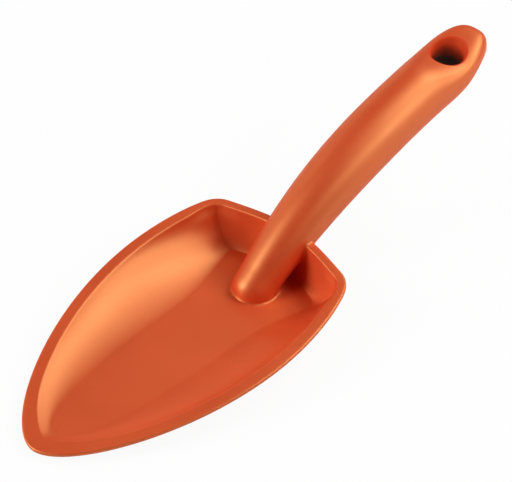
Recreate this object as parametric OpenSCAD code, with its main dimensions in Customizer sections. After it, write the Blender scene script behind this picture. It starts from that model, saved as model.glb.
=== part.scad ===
// Hand trowel: a scoop blade with a neck stub and tang, and a hollow handle in two shells.
// The scoop lies on its flat floor. +X runs from the tip to the handle, and +Z is up.
// The origin is on the floor, half way along the whole length.

/* [Overall] */
// Length from the blade tip to the handle end
overall_l = 281; // [278:1:284]

/* [Blade] */
// Length of the rim from the tip to the middle of the heel edge
blade_l = 160; // [157:1:162]
// Width over the rim where it is widest
blade_w = 97.6; // [92:0.2:104]
// Slope of the rim above the floor, rising towards the heel, in degrees
rim_tilt = 7.3; // [7:0.1:7.6]
// Height of the rim at the tip
rim_tip_h = 3.6; // [3.4:0.1:4]
// Thickness of the floor
floor_t = 3.2; // [3:0.1:3.4]
// Width of the flat of the scoop floor
floor_w = 33.1; // [31:0.1:34]
// Thickness of the side walls
wall_t = 2.6; // [2.2:0.1:2.8]
// Width of the flat lip along the sides
lip_w = 5.2; // [4.8:0.1:5.6]
// Width of the flat lip at the tip
lip_tip_w = 7.2; // [6.8:0.1:7.6]
// Width of the flat lip along the heel
lip_heel_w = 3.8; // [3.6:0.1:4.4]
// Thickness of the lip
lip_t = 2; // [1.9:0.1:2.4]
// Bevel along the outer edge of the lip
lip_bevel = 0.6; // [0.4:0.1:0.8]

/* [Handle] */
// Radius of the neck where it stands on the scoop floor
neck_r = 9.8; // [9.4:0.1:10.2]
// Radius of the grip
grip_r = 13.4; // [13:0.1:14]
// Thickness of the two handle shells
shell_t = 2.3; // [2:0.1:2.6]
// Height of the top above the seam at the hanging end
end_up = 6.8; // [6.4:0.1:7.6]
// Depth of the underside below the seam at the hanging end
end_down = 3.2; // [3:0.1:3.6]

/* [Hanging hole] */
// Radius of the bore
bore_r = 7.2; // [6.6:0.1:7.6]
// Outer radius of the sleeve
sleeve_r = 9; // [8.7:0.1:9.4]
// Distance from the handle end to the middle of the hole
hole_from_end = 22.3; // [21.6:0.1:23.4]
// Lean of the hole from square to the handle, in degrees
hole_lean = 8; // [4:1:12]

/* [Tang and pins] */
// Width of the tang
tang_w = 12; // [10:0.5:13]
// Thickness of the tang
tang_t = 5; // [4:0.1:5.4]
// Radius of the locking pins
pin_r = 2; // [1.6:0.1:2.2]
// Radius of the bosses round the pins
boss_r = 4.2; // [4:0.1:4.6]

/* [Hidden] */
$fn = 64;
terracotta = "#cf5a2e";
terracotta_deep = "#b84a24";
pin_grey = "#c9c6bd";

// Clearances between pieces
pin_gap = 0.05;
sleeve_gap = 0.1;
boss_gap = 0.15;

// Rim outline, half of it from the tip round to the middle of the heel edge, as curve segments
half_w = blade_w / 2;
wide_u = 0.65 * blade_l;
corner_u = blade_l - 14;
corner_y = 0.85 * half_w;
heel_u = blade_l - 6;
heel_y = 0.665 * half_w;
rim_segments = [
    [[0, 0], [0, 17.8], [wide_u / 2, half_w], [wide_u, half_w]],
    [[wide_u, half_w], [wide_u + 15.5, half_w], [corner_u - 10.5, corner_y + 4.4], [corner_u, corner_y]],
    [[corner_u, corner_y], [corner_u + 4.5, corner_y - 1.9], [heel_u - 1, heel_y + 3.9], [heel_u, heel_y]],
    [[heel_u, heel_y], [heel_u + 3, heel_y - 10.6], [blade_l, 12], [blade_l, 0]]
];

// Floor outline, in the same four stretches
half_f = floor_w / 2;
floor_tip = 13.1;
floor_wide = 0.603 * blade_l;
floor_heel = blade_l - 7.5;
floor_corner = [blade_l - 15.2, half_f + 7.9];
floor_before = floor_corner + [-4, -0.7];
floor_after = floor_corner + [2.4, -3.4];
corner_pull = 0.85;
floor_segments = [
    [[floor_tip, 0], [floor_tip, 10.3], [floor_wide / 2, half_f], [floor_wide, half_f]],
    [[floor_wide, half_f], [floor_wide + 20, half_f], [blade_l - 34, half_f + 2.8], floor_before],
    [floor_before, mix(floor_before, floor_corner, corner_pull), mix(floor_after, floor_corner, corner_pull),
        floor_after],
    [floor_after, [blade_l - 10.6, half_f + 0.5], [floor_heel, 8], [floor_heel, 0]]
];
segment_steps = [14, 6, 5, 4];
tip_spread = 14;
heel_spread = 12;
inner_wall_steps = 8;
outer_wall_steps = 6;

// How the wall bends: place along the outline, reach of the first control point,
// then reach and height of the second, as shares of the wall's own
wall_bends = [
    [0, 0.40, 0.49, 0.40],
    [0.36, 0.30, 0.62, 0.37],
    [0.71, 0.20, 0.74, 0.34],
    [1.2, 0.16, 0.85, 0.31],
    [1.7, 0.26, 0.92, 0.36],
    [2.2, 0.32, 1, 0.45],
    [2.6, 0.32, 1, 0.45],
    [3.1, 0.26, 0.84, 0.34],
    [4, 0.32, 0.80, 0.34]
];
floor_overhang = 1.8;

// Handle axis: one curve in the middle plane, from the neck's nose to the handle end
nose = [134.5, 4.9];
axis_curve = [nose, [166.5, 34.4], [206.3, 52], [overall_l, 60.3]];
split_t = 0.3;
pin_ts = [0.4, 0.57];
stub_rings = 9;
shell_rings = 26;
arc_steps = 16;

// Handle section: where the neck swells into the grip, and where the hanging end flattens
swell_from = nose.x + 4.5;
swell_run = 74;
end_power = 2.3;
plan_round_from = overall_l - 30;
top_round_from = overall_l - 8;
flat_from = overall_l - 44;
flat_to = overall_l - 20;
cut_from = overall_l - 22;
cut_to = overall_l - 4;
rise_from = overall_l - 34;
rise_to = overall_l - 6;
end_rise = 3.2;
top_square = 3;
end_widen = 0.4;
end_flat = 0.05;

// Curve and blending functions
function bez(p, t) =
    pow(1 - t, 3) * p[0] + 3 * pow(1 - t, 2) * t * p[1] + 3 * (1 - t) * t * t * p[2] + t * t * t * p[3];
function bez_slope(p, t) =
    3 * pow(1 - t, 2) * (p[1] - p[0]) + 6 * (1 - t) * t * (p[2] - p[1]) + 3 * t * t * (p[3] - p[2]);
function clamp01(v) = min(1, max(0, v));
function ease(v) = let (s = clamp01(v)) s * s * (3 - 2 * s);
function mix(a, b, s) = a + (b - a) * s;
function unit(v) = v / norm(v);
function reversed(list) = [for (i = [len(list) - 1:-1:0]) list[i]];
function flat(lists) = [for (list = lists) for (item = list) item];

// Outlines: half from curve segments, whole by mirroring, and inset along its own normals
function half_outline(segments) = concat(
    [for (s = [0:len(segments) - 1]) for (i = [0:segment_steps[s] - 1])
        bez(segments[s], i / segment_steps[s])],
    [segments[len(segments) - 1][3]]);
function outline(segments) = let (h = half_outline(segments), n = len(h)) concat(
    h, [for (i = [n - 2:-1:1]) [h[i].x, -h[i].y]]);
function inset(ring, d) = let (n = len(ring)) [for (i = [0:n - 1])
    let (t = unit(ring[(i + 1) % n] - ring[(i + n - 1) % n])) ring[i] + d[i] * [t.y, -t.x]];
function lip_widths(ring, less) = [for (p = ring)
    lip_w - less + (lip_tip_w - lip_w) * exp(-pow(p.x / tip_spread, 2))
    + (lip_heel_w - lip_w) * ease(1 + (p.x - corner_u) / heel_spread)];

// Rim and floor points in space
function on_rim(p, up) = [
    p.x * cos(rim_tilt) - up * sin(rim_tilt), p.y, rim_tip_h + p.x * sin(rim_tilt) + up * cos(rim_tilt)];
function on_rim_ring(ring, up) = [for (p = ring) on_rim(p, up)];
half_places = concat(
    [for (s = [0:len(segment_steps) - 1]) for (i = [0:segment_steps[s] - 1]) s + i / segment_steps[s]],
    [len(segment_steps)]);
wall_places = concat(half_places, [for (i = [len(half_places) - 2:-1:1]) half_places[i]]);
function bend_at(place, k) = lookup(place, [for (b = wall_bends) [b[0], b[k]]]);
function wall_curve(low, high, place) = let (
    d = high - low,
    near = bend_at(place, 1),
    out = bend_at(place, 2),
    up = bend_at(place, 3))
    [low, low + [near * d.x, near * d.y, 0], low + [out * d.x, out * d.y, up * d.z], high];
function wall_ring(low, high, s) = [for (i = [0:len(low) - 1])
    bez(wall_curve(low[i], high[i], wall_places[i]), s)];

rim = outline(rim_segments);
floor_line = outline(floor_segments);
ring_n = len(rim);
rim_bevel = inset(rim, [for (p = rim) lip_bevel]);
floor_in = [for (p = floor_line) [p.x, p.y, floor_t]];
lip_in = on_rim_ring(inset(rim, lip_widths(rim, 0)), 0);
under_lip = on_rim_ring(inset(rim, lip_widths(rim, wall_t)), -lip_t);
floor_under = [for (p = inset(floor_line, [for (p = floor_line) -floor_overhang])) [p.x, p.y, 0]];
scoop_rings = concat(
    [for (i = [0:inner_wall_steps]) wall_ring(floor_in, lip_in, i / inner_wall_steps)],
    [on_rim_ring(rim_bevel, 0), on_rim_ring(rim, -lip_bevel), on_rim_ring(rim, lip_bevel - lip_t),
        on_rim_ring(rim_bevel, -lip_t)],
    [for (i = [outer_wall_steps:-1:0]) wall_ring(floor_under, under_lip, i / outer_wall_steps)]);

// Faces of a stack of closed rings with a flat cap at each end
function ring_faces(rings, n) = concat(
    [for (j = [0:rings - 2]) for (i = [0:n - 1]) let (k = (i + 1) % n)
        each [[j * n + i, (j + 1) * n + k, j * n + k], [j * n + i, (j + 1) * n + i, (j + 1) * n + k]]],
    [[for (i = [0:n - 1]) i]],
    [[for (i = [n - 1:-1:0]) (rings - 1) * n + i]]);

// Handle axis and section sizes. The inset is 0 on the outside and shell_t on the inside
function axis_point(t) = bez(axis_curve, t);
function axis_dir(t) = unit(bez_slope(axis_curve, t));
function tube_r(x) = grip_r - (grip_r - neck_r) * pow(1 - clamp01((x - swell_from) / swell_run), 2);
function round_off(x, from, to) = pow(1 - pow(clamp01((x - from) / (to - from)), end_power), 1 / end_power);
function end_blend(x) = ease((x - flat_from) / (flat_to - flat_from));
function side_r(x, in) = (tube_r(x) + end_widen * end_blend(x) - in)
    * round_off(x, plan_round_from, overall_l - in);
function up_r(x, in) = (mix(tube_r(x), end_up, end_blend(x)) - in)
    * round_off(x, top_round_from, overall_l - in);
function down_r(x, in) = (mix(tube_r(x), end_down, ease((x - cut_from) / (cut_to - cut_from))) - in)
    * round_off(x, top_round_from, overall_l - in);
function rise(x) = end_rise * ease((x - rise_from) / (rise_to - rise_from));
function top_power(x) = mix(2, top_square, end_blend(x));
function bulge(v, n) = sign(v) * pow(abs(v), 2 / n);

// A point of the handle skin: t along the axis, a round the section from the +Y side over the top
function skin_point(t, a, in) = let (
    c = axis_point(t),
    d = axis_dir(t),
    n = sin(a) > 0 ? top_power(c.x) : 2,
    h = rise(c.x) + bulge(sin(a), n) * (sin(a) > 0 ? up_r(c.x, in) : down_r(c.x, in)))
    [c.x - d.y * h, side_r(c.x, in) * bulge(cos(a), n), c.y + d.x * h];
function last_t(in) = 1 - (in + end_flat) / norm(bez_slope(axis_curve, 1));
function shell_t_at(j, in) = mix(split_t, last_t(in), 1 - pow(1 - j / (shell_rings - 1), 1.6));
function skin_arc(t, in, from) = [for (i = [0:arc_steps]) skin_point(t, from + 180 * i / arc_steps, in)];
function skin_ring(t) = [for (i = [0:2 * arc_steps - 1]) skin_point(t, 180 * i / arc_steps, 0)];

// Neck: a round nose below the axis curve, then the curve itself up to the split
nose_angles = [75, 50, 25];
function nose_ring(turn) = let (d = axis_dir(0), c = nose - d * neck_r * sin(turn), r = neck_r * cos(turn))
    [for (i = [0:2 * arc_steps - 1]) let (a = 180 * i / arc_steps)
        [c.x - d.y * r * sin(a), r * cos(a), c.y + d.x * r * sin(a)]];
stub_points = concat(flat([for (turn = nose_angles) nose_ring(turn)]),
    flat([for (j = [0:stub_rings - 1]) skin_ring(split_t * j / (stub_rings - 1))]));
neck_low = floor_t / 3;

// Round neck that comes down into the scoop, cut off inside the floor
module neck() {
    difference() {
        polyhedron(stub_points, ring_faces(stub_rings + len(nose_angles), 2 * arc_steps));
        translate([nose.x - 40, -40, neck_low - 40]) cube([80, 80, 40]);
    }
}

// Half shell from the neck split to the handle end, over the arc that starts at angle from
module half_shell(from) {
    m = arc_steps + 1;
    inner = shell_rings * m;
    last = (shell_rings - 1) * m;
    points = concat(
        flat([for (j = [0:shell_rings - 1]) skin_arc(shell_t_at(j, 0), 0, from)]),
        flat([for (j = [0:shell_rings - 1]) skin_arc(shell_t_at(j, shell_t), shell_t, from)]));
    skins = [for (j = [0:shell_rings - 2]) for (i = [0:m - 2]) let (p = j * m + i, q = p + m)
        each [[p, q + 1, p + 1], [p, q, q + 1],
            [inner + p, inner + p + 1, inner + q + 1], [inner + p, inner + q + 1, inner + q]]];
    seams = [for (j = [0:shell_rings - 2]) let (p = j * m, q = p + m, r = p + m - 1, s = r + m)
        each [[p, inner + q, q], [p, inner + p, inner + q], [r, s, inner + s], [r, inner + s, inner + r]]];
    mouth = [for (i = [0:m - 2])
        each [[i, i + 1, inner + i + 1], [i, inner + i + 1, inner + i]]];
    ends = [for (i = [1:m - 2])
        each [[last, last + i + 1, last + i], [inner + last, inner + last + i, inner + last + i + 1]]];
    bridge = [[last, inner + last + m - 1, last + m - 1], [last, inner + last, inner + last + m - 1]];
    polyhedron(points, concat(skins, seams, mouth, ends, bridge));
}

// The tang's line runs through both pin places
pin_a = axis_point(pin_ts[0]);
pin_b = axis_point(pin_ts[1]);
tang_dir = unit(pin_b - pin_a);
tang_angle = atan2(tang_dir.y, tang_dir.x);
tang_back = 17;
tang_ahead = 8;
tang_l = tang_back + norm(pin_b - pin_a) + tang_ahead;

// Moves children to a place in the middle plane, with +Z square to the tang
module at_pin(p) {
    translate([p.x, 0, p.y]) rotate([0, -tang_angle, 0]) children();
}

// One boss between the tang and a shell, on the side given by 1 or -1, and its blind hole
function boss_top(p) = tube_r(p.x) - shell_t / 2;
boss_base = tang_t / 2 + boss_gap;
pin_half = tang_t / 2 + 6.4;
module boss(p, side) {
    at_pin(p) mirror([0, 0, side > 0 ? 0 : 1])
        translate([0, 0, boss_base]) cylinder(r = boss_r, h = boss_top(p) - boss_base);
}
module pin_hole(p) {
    at_pin(p) cylinder(r = pin_r + pin_gap, h = 2 * (pin_half + boss_gap), center = true);
}

// Hanging hole: its axis leans from square to the handle axis at that place
hole_x = overall_l - hole_from_end;
function t_at_x(x, lo, hi, n) = let (m = (lo + hi) / 2)
    n == 0 ? m : axis_point(m).x < x ? t_at_x(x, m, hi, n - 1) : t_at_x(x, lo, m, n - 1);
hole_t = t_at_x(hole_x, 0, 1, 24);
hole_c = axis_point(hole_t);
hole_angle = atan2(axis_dir(hole_t).y, axis_dir(hole_t).x) - hole_lean;
hole_reach = 40;
module hole_rod(r) {
    translate([hole_c.x, 0, hole_c.y]) rotate([0, -hole_angle, 0])
        cylinder(r = r, h = hole_reach, center = true);
}
end_block_rings = 14;
end_block_from = overall_l - 36;
end_block_to = overall_l - 6;

// Solid stretch of the handle round the hanging hole
module end_block() {
    ta = t_at_x(end_block_from, 0, 1, 24);
    tb = t_at_x(end_block_to, 0, 1, 24);
    rings = [for (j = [0:end_block_rings - 1]) skin_ring(mix(ta, tb, j / (end_block_rings - 1)))];
    polyhedron(flat(rings), ring_faces(end_block_rings, 2 * arc_steps));
}

module centred() {
    translate([-overall_l / 2, 0, 0]) children();
}

// Scoop with neck stub and tang
module blade() {
    color(terracotta) centred() difference() {
        union() {
            polyhedron(flat(scoop_rings), ring_faces(len(scoop_rings), ring_n));
            neck();
            at_pin(pin_a) translate([-tang_back, -tang_w / 2, -tang_t / 2]) cube([tang_l, tang_w, tang_t]);
        }
        for (p = [pin_a, pin_b]) pin_hole(p);
    }
}

// Top half of the hollow handle
module handle_upper_shell() {
    color(terracotta) centred() difference() {
        union() {
            half_shell(0);
            for (p = [pin_a, pin_b]) boss(p, 1);
        }
        for (p = [pin_a, pin_b]) pin_hole(p);
        hole_rod(sleeve_r + sleeve_gap);
    }
}

// Bottom half of the hollow handle
module handle_lower_shell() {
    color(terracotta_deep) centred() difference() {
        union() {
            half_shell(180);
            for (p = [pin_a, pin_b]) boss(p, -1);
        }
        for (p = [pin_a, pin_b]) pin_hole(p);
        hole_rod(sleeve_r + sleeve_gap);
    }
}

// Two dowel pins that lock the tang between the shells
module tang_pins() {
    color(pin_grey) centred() for (p = [pin_a, pin_b])
        at_pin(p) cylinder(r = pin_r, h = 2 * pin_half, center = true);
}

// Tube that lines the hanging hole, trimmed flush with the handle
module hang_sleeve() {
    color(terracotta) centred() intersection() {
        end_block();
        difference() {
            hole_rod(sleeve_r);
            hole_rod(bore_r);
        }
    }
}

blade();
handle_upper_shell();
handle_lower_shell();
tang_pins();
hang_sleeve();
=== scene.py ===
"""Looks of a moulded hand trowel: a lipped scoop with a standing neck, and a hollow two-shell handle."""

import logging
import math
from dataclasses import dataclass, field, replace
from enum import Enum
from typing import Callable, ClassVar, Sequence

import bmesh
import bpy
import numpy as np
from mathutils import Matrix, Vector
from mathutils.bvhtree import BVHTree


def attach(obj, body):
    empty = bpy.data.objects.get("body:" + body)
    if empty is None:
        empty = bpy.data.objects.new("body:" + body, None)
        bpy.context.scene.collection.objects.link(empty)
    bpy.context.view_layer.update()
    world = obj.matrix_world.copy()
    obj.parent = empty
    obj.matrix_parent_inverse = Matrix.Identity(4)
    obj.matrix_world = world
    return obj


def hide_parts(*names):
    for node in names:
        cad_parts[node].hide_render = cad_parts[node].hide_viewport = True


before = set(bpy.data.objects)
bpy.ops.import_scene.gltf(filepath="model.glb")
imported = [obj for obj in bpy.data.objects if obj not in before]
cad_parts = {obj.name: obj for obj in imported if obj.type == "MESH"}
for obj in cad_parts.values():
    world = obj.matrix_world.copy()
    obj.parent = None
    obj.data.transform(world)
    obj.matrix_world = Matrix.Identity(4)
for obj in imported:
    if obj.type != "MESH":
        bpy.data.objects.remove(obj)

log = logging.getLogger("trowel")

Array = np.ndarray
Triple = tuple[float, float, float]
Socket = bpy.types.NodeSocket
Tree = bpy.types.NodeTree
Material = bpy.types.Material
Distance = Callable[[Array], tuple[Array, Array]]

MM = 0.001
BODY = "root"
NOISE = "ShaderNodeTexNoise"
WHITE = (1.0, 1.0, 1.0, 1.0)


class Slot(Enum):
    """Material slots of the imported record."""

    BLADE = "blade_plastic"
    HANDLE = "handle_plastic"
    PIN = "pin_plastic"


class Half(Enum):
    """The two handle shells, by the angle at which each one's arc starts."""

    UPPER = 0.0
    LOWER = 180.0


# Curves and blending


def bezier(points: Sequence[Sequence[float]], t: Array) -> Array:
    """Points on a cubic curve.

    Args:
        points: Its four control points.
        t: Places along it, from 0 to 1.

    Returns:
        One row for each place.
    """
    p = np.asarray(points, float)
    t = np.asarray(t, float)[..., None]
    s = 1 - t
    return s**3 * p[0] + 3 * s * s * t * p[1] + 3 * s * t * t * p[2] + t**3 * p[3]


def bezier_slope(points: Sequence[Sequence[float]], t: Array) -> Array:
    """First derivative of a cubic curve.

    Args:
        points: Its four control points.
        t: Places along it, from 0 to 1.

    Returns:
        One row for each place.
    """
    p = np.asarray(points, float)
    t = np.asarray(t, float)[..., None]
    s = 1 - t
    return 3 * s * s * (p[1] - p[0]) + 6 * s * t * (p[2] - p[1]) + 3 * t * t * (p[3] - p[2])


def clamp01(v: Array) -> Array:
    """Values held between 0 and 1."""
    return np.clip(v, 0.0, 1.0)


def ease(v: Array) -> Array:
    """A smooth step from 0 to 1."""
    s = clamp01(v)
    return s * s * (3 - 2 * s)


def mix(a: Array, b: Array, s: Array) -> Array:
    """A straight blend from a to b."""
    return a + (b - a) * s


def unit(v: Array) -> Array:
    """Rows scaled to length 1."""
    return v / np.maximum(np.linalg.norm(v, axis=-1, keepdims=True), 1e-12)


def inset(ring: Array, depth: Array) -> Array:
    """A closed plan outline moved inwards along its own normals.

    Args:
        ring: Outline points, in order.
        depth: How far each point moves.

    Returns:
        The moved outline.
    """
    t = unit(np.roll(ring, -1, 0) - np.roll(ring, 1, 0))
    return ring + np.asarray(depth)[..., None] * np.stack([t[:, 1], -t[:, 0]], 1)


def rounded_corner(
    before: Array, corner: Array, after: Array, reach: float | Array, steps: int
) -> list[Array]:
    """Rings that round a corner between two stretches of a wall.

    Args:
        before: Ring that the wall comes from.
        corner: Ring at the sharp corner.
        after: Ring that the wall goes to.
        reach: Distance from the corner at which the rounding starts and ends.
        steps: Number of stretches in the rounding.

    Returns:
        The rings, first to last.
    """
    start = corner + reach * unit(before - corner)
    end = corner + reach * unit(after - corner)
    return [
        (1 - s) ** 2 * start + 2 * s * (1 - s) * corner + s * s * end
        for s in np.linspace(0, 1, steps + 1)
    ]


def reach_in(start: Array, end: Array, reach: float, share: float) -> Array:
    """A rounding's reach at each point, held under a share of the distance between two rings."""
    return np.minimum(reach, share * np.linalg.norm(end - start, axis=1))[:, None]


# Meshes


@dataclass
class Skin:
    """A surface in the making: points in millimetres from the blade tip, and faces between them."""

    points: Array = field(default_factory=lambda: np.zeros((0, 3)))
    faces: list[tuple[int, ...]] = field(default_factory=list)

    def add(self, points: Array) -> Array:
        """Adds points.

        Args:
            points: An array whose last axis is x, y, z.

        Returns:
            Their indices, in the array's shape.
        """
        first = len(self.points)
        flat = np.asarray(points, float).reshape(-1, 3)
        self.points = np.vstack([self.points, flat])
        return (first + np.arange(len(flat))).reshape(points.shape[:-1])

    def patch(self, grid: Array, closed: bool = False) -> None:
        """Fills a grid of indices with quads.

        Args:
            grid: Rows and columns of indices.
            closed: Whether the last column joins the first.
        """
        if closed:
            grid = np.hstack([grid, grid[:, :1]])
        a, b = grid[:-1, :-1].ravel(), grid[:-1, 1:].ravel()
        c, d = grid[1:, 1:].ravel(), grid[1:, :-1].ravel()
        self.faces += list(zip(a.tolist(), b.tolist(), c.tolist(), d.tolist()))

    def cap(self, ring: Array, flip: bool = False) -> None:
        """Closes a ring of indices with a fan round its middle point.

        Args:
            ring: Indices of the ring, in order.
            flip: Whether the fan looks the other way.
        """
        middle = int(self.add(self.points[ring].mean(0)[None])[0])
        for a, b in zip(ring.tolist(), np.roll(ring, -1).tolist()):
            self.faces.append((b, a, middle) if flip else (a, b, middle))

    def join(self, other: "Skin") -> Array:
        """Takes in another skin.

        Args:
            other: The skin to take in.

        Returns:
            The new indices of the other skin's points.
        """
        index = self.add(other.points)
        self.faces += [tuple(int(index[v]) for v in f) for f in other.faces]
        return index

    def welded(self, gap: float = 1e-4) -> "Skin":
        """The same skin with points that lie together made one, and no empty faces.

        Args:
            gap: Distance under which points count as one.

        Returns:
            The new skin.
        """
        keys = np.round(self.points / gap).astype(np.int64)
        _, first, back = np.unique(keys, axis=0, return_index=True, return_inverse=True)
        order = np.argsort(first)
        rank = np.empty_like(order)
        rank[order] = np.arange(len(order))
        back = rank[back.ravel()]
        faces = []
        for f in self.faces:
            g = [int(back[v]) for v in f]
            g = [v for i, v in enumerate(g) if v != g[i - 1]]
            if len(set(g)) == len(g) >= 3:
                faces.append(tuple(g))
        return Skin(self.points[np.sort(first)], faces)

    def volume(self) -> float:
        """Signed volume, positive when the faces look outwards.

        Returns:
            The volume in cubic millimetres.
        """
        total = 0.0
        for f in self.faces:
            p = self.points[list(f)]
            for i in range(1, len(f) - 1):
                total += float(np.dot(p[0], np.cross(p[i], p[i + 1])))
        return total / 6

    def turned(self) -> "Skin":
        """The same skin with every face looking the other way."""
        return Skin(self.points, [tuple(reversed(f)) for f in self.faces])

    def outwards(self) -> "Skin":
        """The same closed skin, turned if its faces look inwards."""
        return self if self.volume() > 0 else self.turned()

    def loops(self) -> list[list[int]]:
        """Open edges, chained in the direction of their faces.

        Returns:
            One list of indices for each chain.
        """
        used = {(f[i - 1], f[i]) for f in self.faces for i in range(len(f))}
        after = {a: b for a, b in used if (b, a) not in used}
        chains = []
        while after:
            start = min(after)
            chain = [start]
            while after.get(chain[-1]) is not None:
                chain.append(after.pop(chain[-1]))
                if chain[-1] == start:
                    chain.pop()
                    break
            chains.append(chain)
        return chains

    def trimmed(self, keep: Array, snap: float = 0.3) -> "Skin":
        """The part of the skin where a field is positive, cut along the field's zero line.

        Args:
            keep: The field's value at each point.
            snap: Share of an edge within which a point moves onto the cut, so that no sliver is left.

        Returns:
            The kept part.
        """
        points, g = self.points.copy(), keep.copy()
        best: dict[int, tuple[float, Array]] = {}
        for f in self.faces:
            if not (min(g[v] for v in f) < 0 < max(g[v] for v in f)):
                continue
            for i in range(len(f)):
                a, b = f[i - 1], f[i]
                if g[a] * g[b] < 0:
                    s = g[a] / (g[a] - g[b])
                    place = mix(self.points[a], self.points[b], s)
                    v, share = (a, s) if s < 0.5 else (b, 1 - s)
                    if share < snap and share < best.get(v, (math.inf,))[0]:
                        best[v] = (share, place)
        for v, (_, place) in best.items():
            points[v] = place
            g[v] = 0.0
        added: list[Array] = []
        on_cut: dict[tuple[int, int], int] = {}
        faces: list[tuple[int, ...]] = []
        for f in self.faces:
            low, high = min(g[v] for v in f), max(g[v] for v in f)
            if high <= 0:
                continue
            if low >= 0:
                faces.append(f)
                continue
            kept: list[int] = []
            for i in range(len(f)):
                a, b = f[i - 1], f[i]
                if g[a] * g[b] < 0:
                    key = (min(a, b), max(a, b))
                    if key not in on_cut:
                        s = g[key[0]] / (g[key[0]] - g[key[1]])
                        on_cut[key] = len(points) + len(added)
                        added.append(mix(points[key[0]], points[key[1]], s))
                    kept.append(on_cut[key])
                if g[b] >= 0:
                    kept.append(b)
            if len(kept) > 4:
                faces.append((kept[0], *kept[3:]))
                kept = kept[:4]
            if len(kept) >= 3:
                faces.append(tuple(kept))
        whole = np.vstack([points, np.array(added).reshape(-1, 3)])
        alive = np.unique([v for f in faces for v in f])
        place = np.full(len(whole), -1)
        place[alive] = np.arange(len(alive))
        return Skin(whole[alive], [tuple(int(place[v]) for v in f) for f in faces])

    def zip_loops(self, left: list[int], right: list[int]) -> None:
        """Fills the narrow gap between two open edges with a strip of triangles.

        Args:
            left: One open edge, in the direction of its faces.
            right: The other, in the direction of its faces.
        """
        a = list(left)
        c = list(reversed(right))
        p = self.points
        start = int(np.argmin(np.linalg.norm(p[c] - p[a[0]], axis=1)))
        c = c[start:] + c[:start]
        a.append(a[0])
        c.append(c[0])
        i = k = 0
        while i < len(a) - 1 or k < len(c) - 1:
            ahead_a = np.linalg.norm(p[a[i + 1]] - p[c[k]]) if i < len(a) - 1 else np.inf
            ahead_c = np.linalg.norm(p[a[i]] - p[c[k + 1]]) if k < len(c) - 1 else np.inf
            if ahead_a <= ahead_c:
                self.faces.append((a[i + 1], a[i], c[k]))
                i += 1
            else:
                self.faces.append((c[k], c[k + 1], a[i]))
                k += 1

    def to_object(self, name: str, sharp: float = 38.0) -> bpy.types.Object:
        """Makes a Blender object of the skin, in the frame's metres.

        Args:
            name: The object's name.
            sharp: Angle in degrees above which an edge stays sharp.

        Returns:
            The new object, linked to the scene.
        """
        mesh = bpy.data.meshes.new(name)
        at = (self.points - np.array([HandleForm.half_length, 0, 0])) * MM
        mesh.from_pydata(at.tolist(), [], self.faces)
        work = bmesh.new()
        work.from_mesh(mesh)
        bmesh.ops.dissolve_degenerate(work, dist=1e-8, edges=work.edges[:])
        bmesh.ops.recalc_face_normals(work, faces=work.faces[:])
        work.to_mesh(mesh)
        work.free()
        mesh.shade_smooth()
        mesh.set_sharp_from_angle(angle=math.radians(sharp))
        mesh.validate()
        piece = bpy.data.objects.new(name, mesh)
        bpy.context.scene.collection.objects.link(piece)
        return piece


def revolved(profile: Sequence[tuple[float, float]], origin: Array, along: Array, steps: int) -> Skin:
    """A closed turned form in the handle's middle plane.

    Args:
        profile: Radius and height of each point, from the axis at the bottom to the axis at the top.
        origin: Point on the turning axis, in x, y, z.
        along: Direction of the turning axis.
        steps: Number of stretches round.

    Returns:
        The turned skin.
    """
    side = unit(np.cross(along, [0.0, 1.0, 0.0]))
    across = np.cross(along, side)
    turn = np.linspace(0, 2 * math.pi, steps, endpoint=False)
    ring = np.cos(turn)[:, None] * side + np.sin(turn)[:, None] * across
    skin = Skin()
    rows = np.stack([origin + r * ring + h * np.asarray(along) for r, h in profile])
    skin.patch(skin.add(rows), closed=True)
    return skin.welded().outwards()


# Distances, and the fillet where two solids meet


def skin_distance(skin: Skin) -> Distance:
    """Signed distance to a closed skin, and the direction in which it grows.

    Args:
        skin: The closed skin.

    Returns:
        A function that measures both at given points.
    """
    tree = BVHTree.FromPolygons(skin.points.tolist(), skin.faces)
    sideways, touching, clear = 0.4, 0.01, 0.02

    def measure(p: Array) -> tuple[Array, Array]:
        """Distance and direction at each point.

        Args:
            p: Points, one in each row.

        Returns:
            The distances and the unit directions.
        """
        far, way = np.zeros(len(p)), np.zeros((len(p), 3))
        for i, q in enumerate(p.tolist()):
            place, normal, _, gap = tree.find_nearest(q)
            out = np.subtract(q, place)
            lean = float(np.dot(out, normal))
            if abs(lean) < sideways * gap:
                close = tree.find_nearest_range(place, touching)
                lean = float(np.dot(out, sum((f[1] for f in close), Vector())))
            sign = 1.0 if lean >= 0 else -1.0
            far[i] = sign * gap
            way[i] = sign * out / gap if gap > clear else normal
        return far, way

    return measure


def settle(points: Array, one: Distance, two: Distance, radius: float, rounds: int = 9) -> Array:
    """Moves points onto the rounded union of two solids.

    Args:
        points: Points near both.
        one: Distance to the first solid.
        two: Distance to the second.
        radius: Fillet radius between them.
        rounds: Number of corrections.

    Returns:
        The moved points.
    """
    p = points.copy()
    for _ in range(rounds):
        a, ga = one(p)
        b, gb = two(p)
        u, v = np.maximum(radius - a, 0), np.maximum(radius - b, 0)
        reach = np.maximum(np.hypot(u, v), 1e-9)
        over = np.maximum(radius, np.minimum(a, b)) - reach
        slope = (u[:, None] * ga + v[:, None] * gb) / reach[:, None]
        size = np.maximum((slope**2).sum(1), 0.25)
        p -= (over / size)[:, None] * slope
    return p


# Forms


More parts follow.
